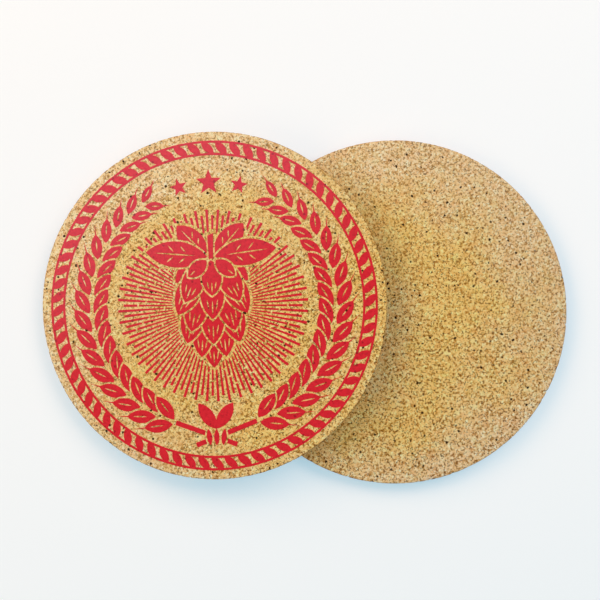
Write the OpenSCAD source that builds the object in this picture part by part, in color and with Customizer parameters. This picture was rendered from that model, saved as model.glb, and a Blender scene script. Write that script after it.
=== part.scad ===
// A pair of round cork coasters: a printed one that leans on the rim of a bare one.
// Both discs are punched from the same sheet, so they share one size.
// The origin is on the table, under the middle of the pair. +X runs from the
// printed coaster to the bare one, and +Z is up.

/* [Coasters] */
// Diameter of each cork disc
disc_d = 100; // [85:1:115]
// Thickness of each cork disc
disc_t = 4; // [3:0.5:6]
// Radius of the softened edge round each face
edge_r = 0.5; // [0.2:0.1:1]

/* [Leaning pair] */
// How far the bare coaster's rim lies past the printed coaster's centre
rim_reach = 2.5; // [1:0.25:30]
// Clearance where the printed coaster leans on the bare one
lean_gap = 0.1; // [0.05:0.05:0.3]

/* [Ink] */
// Thickness of the ink film
ink_t = 0.1; // [0.05:0.05:0.3]
// Bare cork between the print and the rim
print_margin = 2.6; // [1.5:0.1:8]
// Turn of the whole print about the disc's centre
print_turn = 4; // [-180:1:180]
// Bare cork between one motif and the next
motif_gap = 0.8; // [0.5:0.1:1.5]
// Bare line that parts two overlapping shapes
cut_w = 0.5; // [0.35:0.05:0.7]
// Width of an engraved line inside a solid shape
slit_w = 0.4; // [0.3:0.05:0.6]

/* [Rope border] */
// Width of the rope border
rope_w = 4.2; // [3.5:0.1:6]
// Width of each thin line that edges the rope
rope_line_w = 0.65; // [0.4:0.05:0.9]
// Number of strands in the rope
rope_strands = 72; // [48:1:90]
// Slant of the strands from the radius
rope_slant = 45; // [30:1:55]

/* [Barley wreath] */
// Width of the band that the wreath and the stars fill
wreath_w = 14; // [11:0.5:16]
// Angle between an outer kernel and the ear's own line
outer_splay = 27; // [24:1:30]
// Angle between an inner kernel and the ear's own line
inner_splay = 33; // [30:1:36]
// Width of the two crossed stems
stem_w = 1.4; // [0.7:0.1:1.8]

/* [Hop cone] */
// Height of the cone as a share of the sunburst's radius
cone_h_share = 1.12; // [0.9:0.02:1.2]
// Width of the cone as a share of the sunburst's radius
cone_w_share = 0.8; // [0.6:0.02:0.86]
// Length of a leaf as a share of the sunburst's radius
leaf_l_share = 0.65; // [0.5:0.01:0.68]
// Width of the stalk that the cone hangs on
stalk_w = 1.1; // [0.7:0.1:1.6]

/* [Sunburst] */
// Number of rays behind the cone
ray_count = 104; // [60:4:120]
// Ink share of each ray's pitch
ray_ink_share = 0.46; // [0.3:0.02:0.6]

/* [Hidden] */
$fn = 96;

cork_colour = [0.80, 0.66, 0.40];
ink_colour = [0.84, 0.17, 0.23];

// The lean: the printed disc stands on its left edge and rests on the bare
// disc's rim, and both touch along the line between the centres.
disc_r = disc_d / 2;
centre_step = disc_r + rim_reach;
function lean_from(a) = asin(
    ((disc_t - 2 * edge_r + edge_r * cos(a)) * cos(a) + edge_r + lean_gap)
    / (rim_reach + edge_r + (disc_r - edge_r) * cos(a))
);
lean = lean_from(lean_from(lean_from(lean_from(0))));
lean_z = (disc_r - edge_r) * sin(lean) + edge_r * (1 - cos(lean));
// Both discs together are centred on the origin along X
left_reach = (disc_r - edge_r) * cos(lean) + (disc_t - edge_r) * sin(lean) + edge_r;
right_reach = centre_step + disc_r;
printed_x = (left_reach - right_reach) / 2;
bare_x = printed_x + centre_step;

// Bands of the print, from the rim inwards
print_r = disc_r - print_margin;
wreath_out = print_r - rope_w - motif_gap;
wreath_mid = wreath_out - wreath_w / 2;
burst_r = wreath_out - wreath_w - motif_gap;

// Rope strands fill the space between the two edge lines
rope_mid = print_r - rope_w / 2;
strand_l = (rope_w - rope_line_w) / cos(rope_slant);
strand_w = 2 * PI * rope_mid / rope_strands * cos(rope_slant) - cut_w;

// Kernels of the barley ears, in proportion to the wreath's band
kernel_l = 0.6 * wreath_w;
kernel_w = 0.27 * wreath_w;
kernel_side = 0.05 * wreath_w;
kernel_pitch = 0.33 * wreath_w;
awn_l = 0.26 * wreath_w;
// Size of the last kernel of an ear beside the first
ear_tip_share = 0.66;

// Stars fill the band between the tips of the two ears
star_r = 0.27 * wreath_w;
side_star_share = 0.7;
star_pitch = star_r * (1 + side_star_share) + 3 * motif_gap;

// The stems run straight on from the ears and cross below the cone
stem_reach = 0.95 * wreath_w;
stem_tail = 0.45 * wreath_w;
stem_l = stem_reach + stem_tail - motif_gap;
cross_y = -norm([wreath_mid, stem_reach]);
blade_l = 0.64 * wreath_w;
blade_w = 0.27 * wreath_w;
blade_fan = 34;
tie_l = 3.4 * stem_w;
tie_w = 1.1 * stem_w;
tie_pitch = 1.5 * stem_w;
tie_fan = 7;

// Each ear starts where its stem ends and stops short of the stars
mid_degree = PI / 180 * wreath_mid;
ear_start = atan(stem_reach / wreath_mid);
ear_tip = (kernel_l + awn_l) * ear_tip_share;
ear_end = (star_pitch + star_r * side_star_share + ear_tip + motif_gap) / mid_degree;
ear_sweep = 180 - ear_start - ear_end;
ear_pairs = floor(ear_sweep * mid_degree / kernel_pitch);
ear_step = ear_sweep / (ear_pairs - 1);

// The cone hangs a little below the middle, which leaves room for its leaves
cone_h = cone_h_share * burst_r;
cone_w = cone_w_share * burst_r;
cone_top = 0.42 * cone_h;
// Rows of bracts from the top down. Each row has the place of its tips down the
// cone, its side step, the length and the width of a bract, all as shares of the
// cone's own height and width, then its fan in degrees and its number of bracts.
bract_row_shares = [
    [0.23, 0.06, 0.23, 0.18, 50, 2],
    [0.33, 0.00, 0.33, 0.26, 0, 1],
    [0.42, 0.12, 0.42, 0.29, 24, 2],
    [0.55, 0.16, 0.47, 0.31, 27, 3],
    [0.67, 0.14, 0.47, 0.31, 13, 2],
    [0.78, 0.19, 0.46, 0.30, 14, 3],
    [0.90, 0.11, 0.44, 0.28, 5, 2],
    [1.00, 0.00, 0.42, 0.27, 0, 1]
];
last_row = len(bract_row_shares) - 1;
// How many rows up a bract can still be hidden by another
rows_over = 3;
slit_fan = 11;

// Leaves spring from the stalk just above the cone
leaf_l = leaf_l_share * burst_r;
leaf_base = cone_top + stalk_w;
// Lobes of the right leaf: angle from upright, then the shares of the leaf's
// length that a lobe takes along and across itself. The first lies on the others.
lobe_shares = [
    [84, 1.00, 0.42],
    [43, 0.70, 0.36],
    [127, 0.66, 0.34]
];
vein_fan = 44;

// Rays: every second one is shorter, and each is broken once
ray_pitch = 360 / ray_count;
ray_start = 0.2 * burst_r;
ray_short_share = 0.94;
// The breaks step outwards over this many rays, in this mixed order
break_steps = 13;
break_jump = 29;

// A pointed oval that lies along Y, and its outline grown by an even margin
module vesica(l, w, grow = 0) {
    arc_r = (l * l + w * w) / (4 * w);
    intersection() {
        translate([arc_r - w / 2, 0]) circle(r = arc_r + grow);
        translate([w / 2 - arc_r, 0]) circle(r = arc_r + grow);
    }
}

module ring(r, w) {
    difference() {
        circle(r = r);
        circle(r = r - w);
    }
}

module star(r, points = 5, inner_share = 0.42) {
    polygon([
        for (i = [0:2 * points - 1])
            (i % 2 == 0 ? r : inner_share * r) * [sin(180 * i / points), cos(180 * i / points)]
    ]);
}

// Placing on the leaning disc
module lean_disc() {
    translate([printed_x, 0, lean_z]) rotate([0, -lean, 0]) children();
}

module ink() {
    color(ink_colour)
        lean_disc()
            translate([0, 0, disc_t])
                rotate([0, 0, print_turn])
                    linear_extrude(ink_t)
                        children();
}

// Cork discs
module cork_disc() {
    rotate_extrude() {
        square([disc_r - edge_r, disc_t]);
        translate([0, edge_r]) square([disc_r, disc_t - 2 * edge_r]);
        for (z = [edge_r, disc_t - edge_r])
            translate([disc_r - edge_r, z]) circle(r = edge_r);
    }
}

module printed_disc() {
    color(cork_colour) lean_disc() cork_disc();
}

module bare_disc() {
    color(cork_colour) translate([bare_x, 0, 0]) cork_disc();
}

// Rope border
module print_rope_border() {
    ink() {
        ring(print_r, rope_line_w);
        ring(print_r - rope_w + rope_line_w, rope_line_w);
        for (i = [0:rope_strands - 1])
            rotate(360 * i / rope_strands)
                translate([0, rope_mid])
                    rotate(rope_slant)
                        vesica(strand_l, strand_w);
    }
}

// Barley ears: the right one grows anticlockwise from the bottom
module at_pair(i) {
    rotate(ear_start + i * ear_step - 90) translate([wreath_mid, 0]) children();
}

function pair_share(i) = 1 - (1 - ear_tip_share) * pow(i / (ear_pairs - 1), 3);

function splay(side) = side > 0 ? outer_splay : inner_splay;

module at_kernel(side, i) {
    at_pair(i) translate([side * kernel_side, 0]) rotate(-side * splay(side)) children();
}

module kernel(side, i, grow = 0) {
    l = kernel_l * pair_share(i);
    at_kernel(side, i) translate([0, l / 2]) vesica(l, kernel_w * pair_share(i), grow);
}

module kernel_slit(side, i) {
    l = kernel_l * pair_share(i);
    at_kernel(side, i) translate([0, 0.56 * l]) vesica(0.5 * l, slit_w);
}

module awn(side, i) {
    l = kernel_l * pair_share(i);
    at_kernel(side, i)
        translate([0, 0.94 * l])
            polygon([[-slit_w / 2, 0], [slit_w / 2, 0], [0, awn_l * pair_share(i)]]);
}

module ear() {
    for (i = [0:ear_pairs - 1])
        for (side = [-1, 1]) {
            difference() {
                kernel(side, i);
                if (i > 0) kernel(side, i - 1, cut_w);
                kernel_slit(side, i);
            }
            // Inside the curve only the last awns have room beside their neighbours
            if (side > 0 || i > ear_pairs - 4) awn(side, i);
        }
}

module print_barley_right() {
    ink() ear();
}

module print_barley_left() {
    ink() mirror([1, 0]) ear();
}

// Crossed stems, the three turns of their tie, and a pair of blades above it
module both_sides() {
    children();
    mirror([1, 0]) children();
}

module stem() {
    translate([0, cross_y])
        rotate(ear_start)
            translate([-stem_tail, -stem_w / 2])
                square([stem_l, stem_w]);
}

module tie_turn(i, grow = 0) {
    translate([tie_pitch * i, cross_y]) rotate(-tie_fan * i) vesica(tie_l, tie_w, grow);
}

module at_blade() {
    translate([0, cross_y + tie_l / 2]) rotate(-blade_fan) translate([0, blade_l / 2]) children();
}

module blade(grow = 0) {
    at_blade() vesica(blade_l, blade_w, grow);
}

module print_stem_tie() {
    ink() {
        difference() {
            both_sides() stem();
            for (i = [-1:1]) tie_turn(i, cut_w);
            both_sides() blade(cut_w);
        }
        for (i = [-1:1]) tie_turn(i);
        both_sides()
            difference() {
                blade();
                at_blade() vesica(0.6 * blade_l, slit_w);
            }
    }
}

// Hop cone: bracts hang like roof tiles, so an upper row hides the row below
function spots(n) = n == 1 ? [0] : [for (i = [0:n - 1]) 2 * i / (n - 1) - 1];

module at_bract(row, u) {
    translate([u * row[1] * cone_w, cone_top - (row[0] - row[2]) * cone_h])
        rotate(u * row[4])
            children();
}

module bract(row, u, grow = 0) {
    at_bract(row, u)
        translate([0, -row[2] * cone_h / 2])
            vesica(row[2] * cone_h, row[3] * cone_w, grow);
}

module bract_slits(row, u) {
    l = row[2] * cone_h;
    w = row[3] * cone_w;
    // A narrow bract has room for its middle slit only
    sides = w > 12 * slit_w ? 1 : 0;
    at_bract(row, u)
        for (v = [-sides:sides])
            translate([0.19 * v * w, (0.06 * abs(v) - 0.77) * l])
                rotate(-slit_fan * v)
                    vesica((0.3 - 0.08 * abs(v)) * l, slit_w);
}

module cone_rows(first, last, grow = 0) {
    for (k = [first:last])
        for (u = spots(bract_row_shares[k][5]))
            bract(bract_row_shares[k], u, grow);
}

module print_hop_cone() {
    ink()
        for (k = [0:last_row]) {
            row = bract_row_shares[k];
            for (u = spots(row[5]))
                difference() {
                    bract(row, u);
                    if (k > 0) cone_rows(max(0, k - rows_over), k - 1, cut_w);
                    if (row[5] == 3 && u != 0) bract(row, 0, cut_w);
                    if (row[5] == 2 && u > 0) bract(row, -1, cut_w);
                    bract_slits(row, u);
                }
        }
}

// Hop leaves, each of three lobes, behind the cone's top
module at_lobe(share) {
    translate([stalk_w, leaf_base]) rotate(-share[0]) children();
}

module lobe(share, grow = 0) {
    at_lobe(share)
        translate([0, share[1] * leaf_l / 2])
            vesica(share[1] * leaf_l, share[2] * leaf_l, grow);
}

module lobe_veins(share) {
    l = share[1] * leaf_l;
    w = share[2] * leaf_l;
    at_lobe(share) {
        translate([0, 0.53 * l]) vesica(0.7 * l, slit_w);
        for (side = [-1, 1])
            for (along = [0.4, 0.6])
                translate([0.21 * side * w, along * l])
                    rotate(-vein_fan * side)
                        vesica(0.34 * w, slit_w);
    }
}

module leaf() {
    for (k = [0:len(lobe_shares) - 1])
        difference() {
            lobe(lobe_shares[k]);
            if (k > 0) lobe(lobe_shares[0], cut_w);
            lobe_veins(lobe_shares[k]);
        }
}

module stalk(grow = 0) {
    foot = stalk_w / 2 + grow;
    head = 0.8 * stalk_w + grow;
    translate([0, cone_top - stalk_w])
        polygon([[-foot, 0], [foot, 0], [head, 0.5 * leaf_l + grow], [-head, 0.46 * leaf_l + grow]]);
}

module print_hop_leaves() {
    ink() {
        both_sides()
            difference() {
                leaf();
                cone_rows(0, rows_over + 1, cut_w);
                stalk(cut_w);
            }
        difference() {
            stalk();
            cone_rows(0, 1, cut_w);
        }
    }
}

// Sunburst: wedge rays that stop short of the cone and its leaves
module ray(from, to) {
    half = ray_pitch * ray_ink_share / 2;
    polygon([
        from * [cos(half), -sin(half)],
        to * [cos(half), -sin(half)],
        to * [cos(half), sin(half)],
        from * [cos(half), sin(half)]
    ]);
}

module broken_ray(i) {
    end = i % 2 == 0 ? burst_r : ray_short_share * burst_r;
    gap = (0.5 + 0.36 * (i * break_jump % break_steps) / break_steps) * burst_r;
    rotate((i + 0.5) * ray_pitch) {
        ray(ray_start, gap);
        ray(gap + cut_w, end);
    }
}

module print_sunburst() {
    ink()
        difference() {
            for (i = [0:ray_count - 1])
                broken_ray(i);
            cone_rows(0, last_row, motif_gap);
            both_sides()
                for (share = lobe_shares)
                    lobe(share, motif_gap);
            stalk(motif_gap);
        }
}

// Stars between the tips of the ears
module print_stars() {
    ink() {
        translate([0, wreath_mid]) star(star_r);
        both_sides()
            rotate(-star_pitch / mid_degree)
                translate([0, wreath_mid])
                    star(star_r * side_star_share);
    }
}

printed_disc();
bare_disc();
print_rope_border();
print_barley_left();
print_barley_right();
print_stem_tie();
print_sunburst();
print_hop_cone();
print_hop_leaves();
print_stars();
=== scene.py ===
# %% [markdown]
# # A printed cork coaster leaning on a bare one
#
# Two round coasters punched from one sheet of agglomerated cork. The left one carries a one-colour
# screen print and lies over the rim of the right one. This lesson dresses the exact model of the
# pair: the cork gets its granules, its pits and its worn rim, and the ink gets the ragged edge that
# a print has on a rough ground. Everything is in metres, in the model's own frame.

from math import cos, pi, radians, sin

import bmesh
import bpy
from mathutils import Matrix, Vector, noise


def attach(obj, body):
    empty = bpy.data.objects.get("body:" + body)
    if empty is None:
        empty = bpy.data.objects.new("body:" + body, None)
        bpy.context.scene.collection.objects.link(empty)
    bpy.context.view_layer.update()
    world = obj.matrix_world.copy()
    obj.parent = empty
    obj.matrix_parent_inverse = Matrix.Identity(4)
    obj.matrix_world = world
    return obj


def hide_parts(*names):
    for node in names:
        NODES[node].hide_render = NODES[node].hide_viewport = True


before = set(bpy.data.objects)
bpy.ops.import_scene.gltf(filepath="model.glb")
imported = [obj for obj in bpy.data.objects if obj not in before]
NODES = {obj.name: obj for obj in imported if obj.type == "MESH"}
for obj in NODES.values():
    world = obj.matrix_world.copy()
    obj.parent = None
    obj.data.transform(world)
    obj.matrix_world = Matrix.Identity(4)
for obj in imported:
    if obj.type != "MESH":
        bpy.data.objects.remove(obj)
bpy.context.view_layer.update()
MM = 0.001

# %% [markdown]
# ## Small helpers
#
# A designer picks colours as sRGB hex values, while Blender's sockets want linear light, so one
# function converts them. A second one adds a node with its settings and links. It serves shader
# trees and geometry trees, which lets the cork's relief and its colours be drawn from one and the
# same pattern. Nearly every layer of that pattern is eased in by a smoothstep, whose numbers are
# named together as its ease: from, to, and where they aren't 0 and 1, the results at both.

# %% Colour and node helpers


def linear(hex_colour):
    """The linear RGBA of an sRGB hex colour such as #D2B482."""
    channels = [int(hex_colour[i : i + 2], 16) / 255 for i in (1, 3, 5)]
    return [c / 12.92 if c <= 0.04045 else ((c + 0.055) / 1.055) ** 2.4 for c in channels] + [1.0]


def add(tree, kind, inputs=None, **settings):
    """A new node of that kind. An input is a value, or the output socket that feeds it."""
    node = tree.nodes.new(kind)
    for name, value in settings.items():
        setattr(node, name, value)
    for key, value in (inputs or {}).items():
        if isinstance(value, bpy.types.NodeSocket):
            tree.links.new(value, node.inputs[key])
        else:
            node.inputs[key].default_value = value
    return node


def smoothstep(tree, value, low, high, to_low=0.0, to_high=1.0):
    """The value eased from to_low at low up to to_high at high."""
    return add(
        tree,
        "ShaderNodeMapRange",
        {"Value": value, "From Min": low, "From Max": high, "To Min": to_low, "To Max": to_high},
        interpolation_type="SMOOTHSTEP",
    ).outputs["Result"]


def sums(tree, operation, first, second):
    """One sum of two numbers, either of which may be a socket."""
    return add(tree, "ShaderNodeMath", {0: first, 1: second}, operation=operation).outputs[0]


print("cork tan in linear light:", [round(c, 3) for c in linear("#CDAB6A")[:3]])

# %% [markdown]
# ## Where each coaster lies
#
# The bare coaster lies flat on the table. The printed one leans, because its right side rests on
# the bare one's rim. Rather than typing the lean in again, the script measures it on the model:
# the normal of a disc's upper face gives its tilt, the centre of its underside gives its
# place, and the vertices give its radius and thickness.

# %% Measure the discs
UPWARDS = 0.9  # height of a unit normal, above which a face looks up
SQUARE_ON = 0.99999  # the same along a disc's axis, for its flat underside
SAME_HEIGHT = 0.001 * MM
STAY_INSIDE = 0.01 * MM  # by which the dressed disc stays inside the exact one


class Disc:
    """A punched disc's place and size, measured on its node."""

    def __init__(self, name):
        faces = NODES[name].data.polygons
        up = max((f for f in faces if f.normal.z > UPWARDS), key=lambda f: f.area).normal.copy()
        under = [f for f in faces if f.normal.dot(up) < -SQUARE_ON]
        centre = sum((f.center * f.area for f in under), Vector()) / sum(f.area for f in under)
        across = Vector((0, 1, 0)).cross(up)
        self.place = Matrix((across, (0, 1, 0), up)).transposed().to_4x4()
        self.place.translation = centre
        back = self.place.inverted()
        points = [back @ v.co for v in NODES[name].data.vertices]
        self.thick = max(p.z for p in points)
        self.radius = max(p.xy.length for p in points) - STAY_INSIDE
        self.flat = max(p.xy.length for p in points if p.z > self.thick - SAME_HEIGHT)
        self.round = self.radius - self.flat


bare, printed = Disc("bare_disc"), Disc("printed_disc")
for title, disc in (("bare", bare), ("printed", printed)):
    print(title, "radius", round(disc.radius / MM, 3), "thickness", round(disc.thick / MM, 3))
    print(title, "edge rounding", round(disc.round / MM, 3), "centre", disc.place.translation[:])

# %% [markdown]
# ## The cork's grain, as one pattern
#
# Agglomerated cork is ground bark pressed with a little glue and sanded. Seen close, it is a
# mosaic of pale granules half a millimetre to two across, with short dark gaps between some of
# them, brown flecks, and pits where a hard bit of bark fell out. No single texture has all that,
# so the pattern is a sum: Voronoi cells for the granules, a blotchy noise for the press of the
# grains, short pieces of a cell outline for the gaps, and two sizes of dots for flecks and pits.
# The coordinates are first shaken by noise, so that nothing has straight sides. Both trees,
# relief and colour, call this one function, so that what looks deep is deep. Cells and noise are
# scaled in waves per millimetre, worked out from the sizes below.

# %% Granules, gaps, flecks and pits
GRANULE = 0.5  # mm, across a small granule
LARGE_GRANULE = 1.1  # mm, across the granules whose outlines show
FLAKE = 1.9  # mm, across the few flat pale flakes
BLOTCH_WAVE = 0.78  # mm, from one dark press of grains to the next
PIT = (1.7, 0.1, 0.45)  # mm from one to the next, share left out, mm radius of the widest
PIT_EDGE = 0.04  # of that pitch, the width of a pit's soft edge
FLECK = (1.0, 0.35, 0.3)  # the same for the brown flecks
FLECK_EDGE = 0.12
SHAKE = 0.6  # mm, by which noise moves the pattern
SHAKE_SCALE = 1.3  # waves per mm of that noise
MIDDLE = (0.5, 0.5, 0.5)  # the mean of a colour noise
GAPPY_SCALE = 1.7  # waves per mm of the noise that says where gaps are open
GAP_WIDTH_EASE = (0.54, 0.64, 0.005, 0.14)  # width as a share of a large granule
GAP_EASE = (0.4, 1.0, 1.0, 0.0)  # from a gap's middle outwards
FLAKE_CHOICE_EASE = (0.8, 0.83)  # which cells are flakes
FLAKE_EASE = (0.3, 0.5, 1.0, 0.0)  # from a flake's middle outwards


def dots(tree, place, pitch, left_out, radius, edge):
    """Dots of many sizes, scattered at a pitch, as a number that is 1 in a dot."""
    cells = add(tree, "ShaderNodeTexVoronoi", {"Vector": place, "Scale": 1 / pitch}).outputs
    reach = smoothstep(tree, cells["Color"], left_out, 1.0, 0.0, radius / pitch)
    return smoothstep(tree, sums(tree, "SUBTRACT", reach, cells["Distance"]), 0.0, edge)


def grain(tree, place):
    """The cork's pattern at a place in metres, as a dictionary of sockets."""
    mm = add(tree, "ShaderNodeVectorMath", {0: place, "Scale": 1 / MM}, operation="SCALE").outputs[0]
    noisy = {"Vector": mm, "Scale": SHAKE_SCALE, "Detail": 2.0}
    shake = add(tree, "ShaderNodeTexNoise", noisy).outputs["Color"]
    centred = add(tree, "ShaderNodeVectorMath", {0: shake, 1: MIDDLE}, operation="SUBTRACT").outputs[0]
    shift = {0: centred, 1: (SHAKE, SHAKE, SHAKE), 2: mm}
    moved = add(tree, "ShaderNodeVectorMath", shift, operation="MULTIPLY_ADD").outputs[0]
    small = add(tree, "ShaderNodeTexVoronoi", {"Vector": moved, "Scale": 1 / GRANULE})
    press = {"Vector": mm, "Scale": 1 / BLOTCH_WAVE, "Detail": 2.0, "Roughness": 0.6}
    blotch = add(tree, "ShaderNodeTexNoise", press)
    large = {"Vector": moved, "Scale": 1 / LARGE_GRANULE}
    outline = add(tree, "ShaderNodeTexVoronoi", large, feature="DISTANCE_TO_EDGE").outputs["Distance"]
    gappy = {"Vector": mm, "Scale": GAPPY_SCALE, "Detail": 1.0}
    where = add(tree, "ShaderNodeTexNoise", gappy).outputs["Fac"]
    width = smoothstep(tree, where, *GAP_WIDTH_EASE)
    flakes = add(tree, "ShaderNodeTexVoronoi", {"Vector": moved, "Scale": 1 / FLAKE}).outputs
    flake = sums(
        tree,
        "MULTIPLY",
        smoothstep(tree, flakes["Color"], *FLAKE_CHOICE_EASE),
        smoothstep(tree, flakes["Distance"], *FLAKE_EASE),
    )
    return {
        "mm": mm,
        "tone": small.outputs["Color"],
        "blotch": blotch.outputs["Fac"],
        "gap": smoothstep(tree, sums(tree, "DIVIDE", outline, width), *GAP_EASE),
        "flake": flake,
        "fleck": dots(tree, moved, *FLECK, FLECK_EDGE),
        "pit": dots(tree, moved, *PIT, PIT_EDGE),
    }


print("granules", GRANULE, "to", FLAKE, "mm, pits up to", 2 * PIT[2], "mm across")

# %% [markdown]
# ## The disc blank
#
# A cork disc needs a fine, even mesh, or its relief would stretch. A cylinder's cap is a fan of
# slivers, so the face starts as a square grid instead, and each point is moved onto the disc by
# the concentric map, which turns squares round the centre into circles and keeps every cell's
# area. The grid's border is then extruded down the edge and the punched wall, ring by ring, and a
# coarser grid closes the underside. A punch leaves the upper edge crisp, so that one is drawn a
# little sharper than in the model. Each point also gets a number, "out", which is 0 on the disc's
# axis and 1 at its wall, because the rim wears in its own way.

# %% Blank a cork disc
TOP_GRID = 236  # cells across the face
UNDER_GRID = 118  # cells across the underside
ROUND_RINGS = 3
WALL_RINGS = 8
CRISP = 0.2 * MM  # radius of the upper edge
UNDER_RIM = 0.6 * MM  # width of the plain ring round the underside's grid


def onto_disc(a, b, radius):
    """The concentric map of a point of the square -1..1 onto a disc."""
    if a == 0 and b == 0:
        return 0.0, 0.0
    if abs(a) > abs(b):
        return radius * a * cos(pi / 4 * b / a), radius * a * sin(pi / 4 * b / a)
    return radius * b * sin(pi / 4 * a / b), radius * b * cos(pi / 4 * a / b)


def face_grid(bm, cells, radius, height):
    """A grid bent into a round face. Gives its border edges."""
    points = bmesh.ops.create_grid(bm, x_segments=cells, y_segments=cells, size=1)["verts"]
    for v in points:
        v.co.x, v.co.y = onto_disc(v.co.x, v.co.y, radius)
        v.co.z = height
    return list({e for v in points for e in v.link_edges if e.is_boundary})


def ring_down(bm, ring, factor, drop):
    """The ring extruded, scaled about the axis and lowered. Gives the new ring."""
    new = bmesh.ops.extrude_edge_only(bm, edges=ring)["geom"]
    points = [g for g in new if isinstance(g, bmesh.types.BMVert)]
    bmesh.ops.scale(bm, vec=(factor, factor, 1), verts=points)
    bmesh.ops.translate(bm, vec=(0, 0, -drop), verts=points)
    return [g for g in new if isinstance(g, bmesh.types.BMEdge) and g.is_boundary]


def profile(disc):
    """(radius, height) of each ring below the face, down to the underside."""
    quarter = [pi / 2 * (i + 1) / ROUND_RINGS for i in range(ROUND_RINGS)]
    upper = [(disc.radius - CRISP * (1 - sin(t)), disc.thick - CRISP * (1 - cos(t))) for t in quarter]
    wall = disc.thick - CRISP - disc.round
    steps = [(disc.radius, disc.thick - CRISP - wall * (i + 1) / WALL_RINGS) for i in range(WALL_RINGS)]
    lower = [(disc.flat + disc.round * cos(t), disc.round * (1 - sin(t))) for t in quarter]
    return upper + steps + lower


def cork_blank(title, disc):
    """A closed fine mesh of the punched disc, in its place."""
    bm = bmesh.new()
    at = (disc.radius - CRISP, disc.thick)
    ring = face_grid(bm, TOP_GRID, *at)
    for radius, height in profile(disc):
        ring = ring_down(bm, ring, radius / at[0], at[1] - height)
        at = (radius, height)
    under = face_grid(bm, UNDER_GRID, disc.flat - UNDER_RIM, 0)
    bmesh.ops.triangle_fill(bm, use_beauty=True, edges=ring + under, normal=(0, 0, 1))
    bmesh.ops.recalc_face_normals(bm, faces=bm.faces)
    out = bm.verts.layers.float.new("out")
    for v in bm.verts:
        v[out] = v.co.xy.length / disc.radius
    for f in bm.faces:
        f.smooth = True
    bmesh.ops.transform(bm, matrix=disc.place, verts=bm.verts)
    open_edges = sum(e.is_boundary or not e.is_manifold for e in bm.edges)
    mesh = bpy.data.meshes.new(title)
    bm.to_mesh(mesh)
    volume = round(bm.calc_volume() / MM**3)
    print(title, len(mesh.polygons), "faces,", open_edges, "open edges,", volume, "mm3")
    bm.free()
    piece = bpy.data.objects.new(title, mesh)
    bpy.context.scene.collection.objects.link(piece)
    return piece


bare_cork = cork_blank("bare_cork", bare)
printed_cork = cork_blank("printed_cork", printed)

# %% [markdown]
# ## Relief: granules stand, gaps and pits sink
#
# The relief could be bump alone, but then the outline and the side would stay those of a plastic
# disc. A small geometry tree moves every point inwards instead, never out, so the disc keeps its
# real size. The gaps sink a few hundredths of a millimetre, the pits a tenth, and the torn rim
# loses whole granules.

# %% Sink the gaps, the pits and the rim
PRESS_DEPTH = 0.03 * MM
GAP_DEPTH = 0.05 * MM
PIT_DEPTH = 0.12 * MM
RIM_DEPTH = 0.22 * MM
RIM_FROM = 0.988  # of the radius, where the torn rim starts
PRESS_EASE = (0.35, 0.65, PRESS_DEPTH, 0.0)
TORN_EASE = (0.6, 0.95, 0.0, RIM_DEPTH)  # which granules the rim has lost


def relief_tree():
    """The geometry tree that presses the grain into a disc."""
    tree = bpy.data.node_groups.new("cork relief", "GeometryNodeTree")
    tree.interface.new_socket("Geometry", in_out="INPUT", socket_type="NodeSocketGeometry")
    tree.interface.new_socket("Geometry", in_out="OUTPUT", socket_type="NodeSocketGeometry")
    start = add(tree, "NodeGroupInput")
    pattern = grain(tree, add(tree, "GeometryNodeInputPosition").outputs[0])
    named = add(tree, "GeometryNodeInputNamedAttribute", {"Name": "out"}, data_type="FLOAT")
    rim = smoothstep(tree, named.outputs["Attribute"], RIM_FROM, 1.0)
    press = smoothstep(tree, pattern["blotch"], *PRESS_EASE)
    gap = sums(tree, "MULTIPLY", pattern["gap"], GAP_DEPTH)
    pit = sums(tree, "MULTIPLY", pattern["pit"], PIT_DEPTH)
    torn = sums(tree, "MULTIPLY", smoothstep(tree, pattern["tone"], *TORN_EASE), rim)
    sunk = sums(tree, "MAXIMUM", sums(tree, "MAXIMUM", gap, press), pit)
    depth = sums(tree, "MULTIPLY", sums(tree, "ADD", sunk, torn), -1.0)
    normal = add(tree, "GeometryNodeInputNormal").outputs[0]
    inwards = add(tree, "ShaderNodeVectorMath", {0: normal, "Scale": depth}, operation="SCALE").outputs[0]
    moved = add(tree, "GeometryNodeSetPosition", {"Geometry": start.outputs[0], "Offset": inwards})
    add(tree, "NodeGroupOutput", {0: moved.outputs[0]})
    return tree


RELIEF = relief_tree()


def press_relief(piece):
    """Runs the relief on the piece and keeps its result as the piece's mesh."""
    piece.modifiers.new("relief", "NODES").node_group = RELIEF
    result = bpy.data.meshes.new_from_object(piece.evaluated_get(bpy.context.evaluated_depsgraph_get()))
    deepest = max((a.co - b.co).length for a, b in zip(piece.data.vertices, result.vertices))
    piece.modifiers.clear()
    piece.data = result
    print(piece.name, "deepest point", round(deepest / MM, 3), "mm")


for piece in (bare_cork, printed_cork):
    press_relief(piece)

# %% [markdown]
# ## The cork's finish: ground bark, pressed and sanded
#
# Cork is dry and matte. Each granule has its own tan, from straw to ochre, the gaps and flecks
# are brown, and the pits are nearly black. Away from one clean spot, a film of sanding dust
# softens the grain. The sheet as a whole isn't one tan either: some bark is pinkish and some is
# greener, in patches of a few millimetres. Painted light is added too. The cork is most golden
# where the two discs meet and turns paler and greyer outwards and to the left, which is a painted
# sheen. It also darkens from the upper left to the lower right, which is a painted falloff of the
# light. These tints multiply the grain, so that it keeps its contrast. The wall is darker, partly
# because it is torn and not sanded, and partly as painted shade along the edge.

# %% Blending helpers
NEAR_WAVE = 2.6  # mm, of the small clouds
FAR_WAVE = 18.0  # mm, of the large ones


def blend(tree, factor, first, second, kind="MIX"):
    """Two colours mixed by a factor."""
    return add(
        tree, "ShaderNodeMix", {0: factor, 6: first, 7: second}, data_type="RGBA", blend_type=kind
    ).outputs[2]


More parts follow.
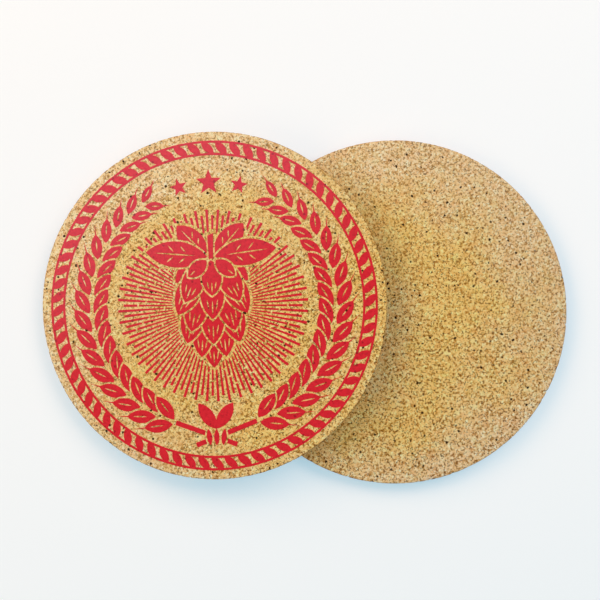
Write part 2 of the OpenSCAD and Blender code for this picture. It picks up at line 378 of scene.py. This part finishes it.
def ramp(tree, value, stops):
    """A colour ramp from a list of (position, hex colour)."""
    node = add(tree, "ShaderNodeValToRGB", {"Fac": value})
    elements = node.color_ramp.elements
    while len(elements) < len(stops):
        elements.new(0.5)
    for element, (position, colour) in zip(elements, stops):
        element.position = position
        element.color = linear(colour)
    return node.outputs["Color"]


def cloud(tree, place, wave):
    """Soft noise with a wave given in millimetres."""
    settings = {"Vector": place, "Scale": 1 / wave, "Detail": 3.0, "Roughness": 0.6}
    return add(tree, "ShaderNodeTexNoise", settings).outputs["Fac"]


def distance(tree, place, spot):
    """How far a place is from a spot."""
    return add(tree, "ShaderNodeVectorMath", {0: place, 1: spot}, operation="DISTANCE").outputs["Value"]


def along(tree, place, direction):
    """How far a place lies along a direction."""
    both = {0: place, 1: direction}
    return add(tree, "ShaderNodeVectorMath", both, operation="DOT_PRODUCT").outputs["Value"]


print("clouds of", NEAR_WAVE, "and", FAR_WAVE, "mm will tint the sheet")

# %% Cork colours, and the ease with which each comes in
TANS = [  # the tones of single granules
    (0.0, "#8A5820"),
    (0.18, "#CE9856"),
    (0.36, "#F8CA8E"),
    (0.7, "#FFDCA8"),
    (0.88, "#FFF2C8"),
    (1.0, "#FFFFE8"),
]
PALE_BARK, PALE_EASE = "#FFFFE2", (0.56, 0.72, 0.0, 0.5)
DARK_BARK, DARK_EASE = "#8C5810", (0.3, 0.46, 0.95, 0.0)
FLAKE_COLOUR, FLAKE_SHARE = "#FFECBD", 0.7
GAP_COLOUR, GAP_SHARE = "#5E3000", 0.8
FLECK_COLOUR, FLECK_SHARE = "#905410", 0.9
PIT_COLOUR, PIT_SHARE = "#260C00", 0.95
CLEAN_SPOT = (26.0, -35.0, 4.0)  # mm, where the sanded face holds the least dust
DUST, DUST_EASE = "#DDB984", (30.0, 75.0, 0.0, 0.2)  # by mm from the clean spot
PINK_BARK, PINK_EASE = "#F4CDB4", (0.5, 0.7, 0.0, 0.34)
GREEN_BARK, GREEN_EASE = "#E6EAB8", (0.3, 0.5, 0.26, 0.0)
LEAST_SHEEN_SPOT = (0.0, -9.0, 4.0)  # mm, where the cork is most golden; paler outwards is painted sheen
GOLDEN_STRETCH = (1.0, 1.5, 1.0)  # narrows the golden zone from front to back
GOLDEN, GOLDEN_EASE = "#FFF8C4", (45.0, 88.0, 1.2, 0.0)  # by mm from its middle
SHEEN_LEFT_EASE = (-20.0, 30.0, 0.8, 1.0)  # weaker at the left, as painted sheen, by mm along X
GOLDEN_GAP_EASE = (0.4, 0.65, 0.0, 0.4)  # what the large clouds take away
# Painted light: the cork darkens from the upper left to the lower right, a falloff of the light.
FALLOFF_WAY, FALLOFF_REACH = (1.0, -0.8, 0.0), 76.0  # the way the painted falloff darkens the cork, and mm
FALLOFF_SHADE = "#EEEEEE"
WALL_FROM = 0.995  # of the radius, where the wall starts
# The wall's tint is partly its torn, unsanded tone and partly painted shade along the edge.
WALL_TONE_AND_SHADE, WALL_SHARE = "#B8986C", 0.8
BUMP_STRENGTH = 0.35
BUMP_DEPTH = 0.06 * MM
print(len(TANS), "tans from", TANS[0][1], "to", TANS[-1][1])

# %% Cork material


def cork_finish():
    """Agglomerated cork, sanded face and punched edge."""
    material = bpy.data.materials.new("agglomerated cork, sanded")
    material.use_nodes = True
    tree = material.node_tree
    shader = tree.nodes["Principled BSDF"]
    pattern = grain(tree, add(tree, "ShaderNodeTexCoord").outputs["Object"])
    mm = pattern["mm"]
    blotch = pattern["blotch"]
    tan = ramp(tree, pattern["tone"], TANS)
    tan = blend(tree, smoothstep(tree, blotch, *PALE_EASE), tan, linear(PALE_BARK))
    tan = blend(tree, smoothstep(tree, blotch, *DARK_EASE), tan, linear(DARK_BARK))
    tan = blend(tree, sums(tree, "MULTIPLY", pattern["flake"], FLAKE_SHARE), tan, linear(FLAKE_COLOUR))
    tan = blend(tree, sums(tree, "MULTIPLY", pattern["gap"], GAP_SHARE), tan, linear(GAP_COLOUR))
    tan = blend(tree, sums(tree, "MULTIPLY", pattern["fleck"], FLECK_SHARE), tan, linear(FLECK_COLOUR))
    dust = smoothstep(tree, distance(tree, mm, CLEAN_SPOT), *DUST_EASE)
    tan = blend(tree, dust, tan, linear(DUST))
    tan = blend(tree, sums(tree, "MULTIPLY", pattern["pit"], PIT_SHARE), tan, linear(PIT_COLOUR))
    near = cloud(tree, mm, NEAR_WAVE)
    far = cloud(tree, mm, FAR_WAVE)
    tan = blend(tree, smoothstep(tree, near, *PINK_EASE), tan, linear(PINK_BARK), "MULTIPLY")
    tan = blend(tree, smoothstep(tree, near, *GREEN_EASE), tan, linear(GREEN_BARK), "MULTIPLY")
    out = add(tree, "ShaderNodeAttribute", attribute_name="out").outputs["Fac"]
    # Painted sheen: gold in the middle, paler and greyer outwards and to the left.
    stretched = {0: mm, 1: GOLDEN_STRETCH}
    wide = add(tree, "ShaderNodeVectorMath", stretched, operation="MULTIPLY").outputs[0]
    sheen_free_gold = smoothstep(tree, distance(tree, wide, LEAST_SHEEN_SPOT), *GOLDEN_EASE)
    right = add(tree, "ShaderNodeSeparateXYZ", {0: mm}).outputs["X"]
    sheen_free_gold = sums(tree, "MULTIPLY", sheen_free_gold, smoothstep(tree, right, *SHEEN_LEFT_EASE))
    sheen_free_gold = sums(tree, "SUBTRACT", sheen_free_gold, smoothstep(tree, far, *GOLDEN_GAP_EASE))
    tan = blend(tree, sheen_free_gold, tan, linear(GOLDEN), "MULTIPLY")
    # painted falloff of the light, darker towards the lower right
    span = {"Value": along(tree, mm, FALLOFF_WAY), "From Min": -FALLOFF_REACH, "From Max": FALLOFF_REACH}
    across = add(tree, "ShaderNodeMapRange", span).outputs["Result"]
    tan = blend(tree, across, tan, linear(FALLOFF_SHADE), "MULTIPLY")
    # torn wall tone and painted edge shade
    wall = smoothstep(tree, out, WALL_FROM, 1.0, 0.0, WALL_SHARE)
    tan = blend(tree, wall, tan, linear(WALL_TONE_AND_SHADE), "MULTIPLY")
    tree.links.new(tan, shader.inputs["Base Color"])
    sunk = sums(tree, "MAXIMUM", pattern["gap"], pattern["pit"])
    height = sums(tree, "SUBTRACT", blotch, sums(tree, "MAXIMUM", sunk, pattern["fleck"]))
    relief = {"Height": height, "Strength": BUMP_STRENGTH, "Distance": BUMP_DEPTH}
    bump = add(tree, "ShaderNodeBump", relief)
    tree.links.new(bump.outputs[0], shader.inputs["Normal"])
    shader.inputs["Roughness"].default_value = 0.9
    shader.inputs["Specular IOR Level"].default_value = 0.06
    return material


CORK = cork_finish()
CORK_PIECES = (
    (bare_cork, "bare_coaster", "bare_disc"),
    (printed_cork, "printed_coaster", "printed_disc"),
)
for piece, body, node in CORK_PIECES:
    piece.data.materials.clear()
    piece.data.materials.append(CORK)
    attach(piece, body)
    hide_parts(node)
print("cork material has", len(CORK.node_tree.nodes), "nodes")

# %% [markdown]
# ## The print: a film with a ragged edge
#
# The print is one pass of thick matte ink through a screen. On cork it dries with an edge that
# wanders from granule to granule. The model's ink is exact, so each of its groups is taken as a
# copy, only the outlines of its upper faces are kept, and these are cut into short steps, pushed
# about by noise and filled again. Where two islands touch at a single corner they are parted, so
# that each stays a closed shape. The film is then pulled down into the cork a little, so that no
# light passes under it.

# %% Ragged ink films
EDGE_STEP = 0.24 * MM
RAGGED = 0.075 * MM
RAGGED_WAVE = 0.55 * MM
FILM_TOP = 0.05 * MM
FILM_SINK = 0.16 * MM
WELD = 0.0001 * MM  # points closer than this are one
INK_NODES = sorted(name for name in NODES if name.startswith("print_"))
noise.seed_set(4)  # unseeded, the edges would differ from run to run


def outline(name):
    """The outlines of a print group's upper faces, flat in the disc's own frame."""
    bm = bmesh.new()
    bm.from_mesh(NODES[name].data)
    bmesh.ops.remove_doubles(bm, verts=bm.verts, dist=WELD)
    bmesh.ops.transform(bm, matrix=printed.place.inverted(), verts=bm.verts)
    bm.normal_update()
    bmesh.ops.delete(bm, geom=[f for f in bm.faces if f.normal.z < UPWARDS], context="FACES")
    inner = [e for e in bm.edges if not e.is_boundary]
    bmesh.ops.delete(bm, geom=inner, context="EDGES")
    bmesh.ops.delete(bm, geom=bm.faces, context="FACES_ONLY")
    return bm


def cut_to_steps(bm, step):
    """Every edge cut into pieces no longer than the step."""
    by_cuts = {}
    for e in bm.edges:
        by_cuts.setdefault(int(e.calc_length() / step), []).append(e)
    for cuts, edges in sorted(by_cuts.items()):
        if cuts:
            bmesh.ops.subdivide_edges(bm, edges=edges, cuts=cuts)


def part_corners(bm):
    """Splits every point at which two islands touch."""
    for v in [v for v in bm.verts if sum(e.is_boundary for e in v.link_edges) > 2]:
        bmesh.utils.vert_separate(v, [e for e in v.link_edges if e.is_boundary])


def ink_film(name):
    """A closed film of ink in the place of a print group, with a ragged edge."""
    bm = outline(name)
    cut_to_steps(bm, EDGE_STEP)
    for v in bm.verts:
        push = noise.noise_vector(v.co / RAGGED_WAVE)
        v.co += RAGGED * Vector((push.x, push.y, 0))
        v.co.z = printed.thick + FILM_TOP
    bmesh.ops.triangle_fill(bm, use_beauty=True, edges=bm.edges, normal=(0, 0, 1))
    part_corners(bm)
    new = bmesh.ops.extrude_face_region(bm, geom=bm.faces[:], use_keep_orig=True)["geom"]
    lower = [g for g in new if isinstance(g, bmesh.types.BMVert)]
    bmesh.ops.translate(bm, vec=(0, 0, -FILM_SINK), verts=lower)
    bmesh.ops.recalc_face_normals(bm, faces=bm.faces)
    bmesh.ops.transform(bm, matrix=printed.place, verts=bm.verts)
    open_edges = sum(not e.is_manifold for e in bm.edges)
    title = name.replace("print_", "ink_")
    mesh = bpy.data.meshes.new(title)
    bm.to_mesh(mesh)
    volume = round(bm.calc_volume() / MM**3, 1)
    print(title, len(mesh.polygons), "faces,", open_edges, "open edges,", volume, "mm3")
    bm.free()
    piece = bpy.data.objects.new(title, mesh)
    bpy.context.scene.collection.objects.link(piece)
    return piece


ink_films = {name: ink_film(name) for name in INK_NODES}

# %% [markdown]
# ## The ink's finish: matte screen ink
#
# Screen ink for cork is thick, opaque and matte, a warm red. It lies nearly smooth on the large
# areas, with faint mottling where the cork drank some of it, and it is darker where the film dips
# into a hollow. Towards the upper left it is painted paler and pinker, as a painted sheen. So the
# colour is one red with a slow noise, darkened by the cork's own hollows and paled by that painted
# sheen, and the bump is the cork's grain.

# %% Ink material
REDS = ("#E02330", "#D61F2B")
MOTTLE_SCALE, MOTTLE_EASE = 0.8, (0.3, 0.7)  # waves per mm, and how the two reds meet
DIP_COLOUR, DIP_EASE = "#A8141E", (0.34, 0.46, 0.35, 0.0)
INK_SHEEN_WAY = (-0.55, 1.0, 0.0)  # the way in which the painted sheen on the ink grows
INK_SHEEN, INK_SHEEN_EASE = "#FFA6BD", (0.0, 60.0, 0.0, 0.1)  # by mm that way
INK_BUMP_STRENGTH = 0.8
INK_BUMP_DEPTH = 0.1 * MM


def ink_finish():
    """Matte red screen ink on cork."""
    material = bpy.data.materials.new("screen ink, matte red")
    material.use_nodes = True
    tree = material.node_tree
    shader = tree.nodes["Principled BSDF"]
    pattern = grain(tree, add(tree, "ShaderNodeTexCoord").outputs["Object"])
    mm = pattern["mm"]
    noisy = {"Vector": mm, "Scale": MOTTLE_SCALE, "Detail": 3.0}
    mottle = add(tree, "ShaderNodeTexNoise", noisy).outputs["Fac"]
    red = blend(tree, smoothstep(tree, mottle, *MOTTLE_EASE), linear(REDS[0]), linear(REDS[1]))
    dip = smoothstep(tree, pattern["blotch"], *DIP_EASE)
    red = blend(tree, sums(tree, "MAXIMUM", dip, pattern["pit"]), red, linear(DIP_COLOUR))
    # painted sheen: paler and pinker towards the upper left
    red = blend(tree, smoothstep(tree, along(tree, mm, INK_SHEEN_WAY), *INK_SHEEN_EASE), red, linear(INK_SHEEN))
    tree.links.new(red, shader.inputs["Base Color"])
    height = sums(tree, "SUBTRACT", pattern["blotch"], pattern["gap"])
    relief = {"Height": height, "Strength": INK_BUMP_STRENGTH, "Distance": INK_BUMP_DEPTH}
    bump = add(tree, "ShaderNodeBump", relief)
    tree.links.new(bump.outputs[0], shader.inputs["Normal"])
    shader.inputs["Roughness"].default_value = 0.55
    shader.inputs["Specular IOR Level"].default_value = 0.15
    return material


INK = ink_finish()
for name, piece in ink_films.items():
    piece.data.materials.append(INK)
    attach(piece, "printed_coaster")
    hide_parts(name)
print("ink material on", len(ink_films), "films")

# %% [markdown]
# ## Table, light and camera
#
# The pair lies on white board. In the photograph the board is brighter than a picture can hold,
# so its shadows look pale and blue, while those on the cork are deep and neutral. More light
# would bleach the cork. Instead, a part of the board's white is drawn only for the camera and for
# reflections, in pale blue and without light, and the rest, a warm tan, takes the shadows. Lit,
# the two parts add up to white. Where something lies close above, the first part is painted grey
# instead, as a painted contact shade, so that the object's contact with the board still shows. The
# cork gets its light back from a plain white board. Far from the pair the board fades to clear
# white, so that side views have no horizon.
#
# The light is soft: a row of slightly warm windows from the left round to the back, a slightly
# cool one at the right, two weak lamps at the near left and at the right, and a room that is a
# little blue. Each is given as its share of the light on a level surface, and the shares add up
# to about 1, so a colour renders about as it is written. The camera looks straight down from
# 0.3 m, as a phone held over the table does.

# %% Table
TABLE_SPAN = 3.0
BOARD = "#FCFAF8"
BOARD_LIT = "#E3B594"  # the part of the white that takes light, as the camera sees it
BOARD_CLEAR = "#83BCD2"  # the part that doesn't
BOARD_PAINTED_SHADE = "#565450"  # painted contact shade: the same part, grey, where something lies close above
CLEAR_FROM, CLEAR_TO = 0.13, 0.27  # metres from the middle, where the board fades to clear white
CLOSE_ABOVE = 12 * MM  # how near a thing has to be to count
CLOSE_EASE = (0.05, 0.55)  # share of open sky overhead, from deep shade to none


def seen_straight(tree):
    """1 for the camera and for reflections, 0 for the light that objects give each other."""
    path = add(tree, "ShaderNodeLightPath").outputs
    clear = sums(tree, "MAXIMUM", path["Is Glossy Ray"], path["Is Transmission Ray"])
    return sums(tree, "MAXIMUM", path["Is Camera Ray"], clear)


def board_finish():
    """White board, matte, a part of whose white takes no shadow and is painted grey as shade close under
    things.
    """
    material = bpy.data.materials.new("white board, matte")
    material.use_nodes = True
    material.cycles.emission_sampling = "NONE"
    tree = material.node_tree
    shader = tree.nodes["Principled BSDF"]
    place = add(tree, "ShaderNodeTexCoord").outputs["Object"]
    away = add(tree, "ShaderNodeVectorMath", {0: place}, operation="LENGTH").outputs["Value"]
    fade = smoothstep(tree, away, CLEAR_FROM, CLEAR_TO)
    reach = {"Distance": CLOSE_ABOVE}
    sky = add(tree, "ShaderNodeAmbientOcclusion", reach, samples=8).outputs["AO"]
    # painted contact shade: the unlit part turns grey where little open sky is overhead
    clear = blend(tree, smoothstep(tree, sky, *CLOSE_EASE), linear(BOARD_PAINTED_SHADE), linear(BOARD_CLEAR))
    seen = seen_straight(tree)
    lit = blend(tree, fade, linear(BOARD_LIT), (0, 0, 0, 1))
    tree.links.new(blend(tree, seen, linear(BOARD), lit), shader.inputs["Base Color"])
    tree.links.new(blend(tree, fade, clear, (1, 1, 1, 1)), shader.inputs["Emission Color"])
    tree.links.new(seen, shader.inputs["Emission Strength"])
    shader.inputs["Roughness"].default_value = 0.9
    shader.inputs["Specular IOR Level"].default_value = 0.1
    return material


bm = bmesh.new()
bmesh.ops.create_grid(bm, x_segments=1, y_segments=1, size=TABLE_SPAN / 2)
board_mesh = bpy.data.meshes.new("board")
bm.to_mesh(board_mesh)
bm.free()
board = bpy.data.objects.new("board", board_mesh)
board_mesh.materials.append(board_finish())
bpy.context.scene.collection.objects.link(board)
print("the board is", TABLE_SPAN, "m wide")

# %% Room and windows
ROOM = (0.069, 0.098, 0.138)  # the room's share of the light, a little blue
WARM, COOL = (1.08, 1.004, 0.82), (0.94, 0.998, 1.13)  # tints, about as bright as white
world = bpy.data.worlds.new("room")
world.use_nodes = True
bpy.context.scene.world = world
tree = world.node_tree
tree.nodes.clear()
room = add(tree, "ShaderNodeBackground", {"Color": (*ROOM, 1), "Strength": 1.0})
white = add(tree, "ShaderNodeBackground", {"Color": (1, 1, 1, 1), "Strength": 1.0})
mixed = add(tree, "ShaderNodeMixShader", {0: seen_straight(tree), 1: room.outputs[0], 2: white.outputs[0]})
add(tree, "ShaderNodeOutputWorld", {0: mixed.outputs[0]})

LAMP_FAR = 0.85  # metres from the middle
LAMPS = (  # name, azimuth, elevation, width in metres, share, tint
    ("back window", 118, 36, 0.6, 0.152, WARM),
    ("corner window", 145, 28, 0.5, 0.098, WARM),
    ("left window", 172, 38, 0.6, 0.122, WARM),
    ("right window", 50, 42, 0.6, 0.322, COOL),
    ("near lamp", 225, 40, 0.6, 0.12, WARM),
    ("side lamp", 0, 40, 0.6, 0.094, COOL),
)


def soft_lamp(title, azimuth, elevation, size, share, tint):
    """A round soft lamp that gives a level surface its share of the light."""
    turn, rise = radians(azimuth), radians(elevation)
    at = LAMP_FAR * Vector((cos(turn) * cos(rise), sin(turn) * cos(rise), sin(rise)))
    lamp = bpy.data.lights.new(title, "AREA")
    lamp.shape = "DISK"
    lamp.size = size
    lamp.color = tint
    lamp.energy = share * pi**2 * LAMP_FAR**2 / sin(rise)
    piece = bpy.data.objects.new(title, lamp)
    piece.location = at
    piece.rotation_euler = (-at).to_track_quat("-Z", "Y").to_euler()
    piece.visible_camera = False
    bpy.context.scene.collection.objects.link(piece)
    print(title, "at", [round(x, 2) for x in at], "m,", round(lamp.energy, 2), "W")


for settings in LAMPS:
    soft_lamp(*settings)
print("the shares add up to", round(ROOM[1] + sum(share for *_, share, _ in LAMPS), 3))

# %% Camera
PHOTO_PIXELS = 600
FOCAL_PIXELS = 1016.8
SENSOR = 36  # mm
CAMERA_AT = (-0.00144, 0.00246, 0.300)
CAMERA_ROLL = 2.08  # degrees
camera_data = bpy.data.cameras.new("phone")
camera_data.sensor_width = SENSOR
camera_data.lens = FOCAL_PIXELS / PHOTO_PIXELS * camera_data.sensor_width
camera_data.clip_start = 0.01
camera = bpy.data.objects.new("phone", camera_data)
camera.location = CAMERA_AT
camera.rotation_euler = (0, 0, radians(CAMERA_ROLL))
bpy.context.scene.collection.objects.link(camera)
bpy.context.scene.camera = camera
bpy.context.scene.view_settings.view_transform = "Standard"
print("lens", round(camera_data.lens, 2), "mm")
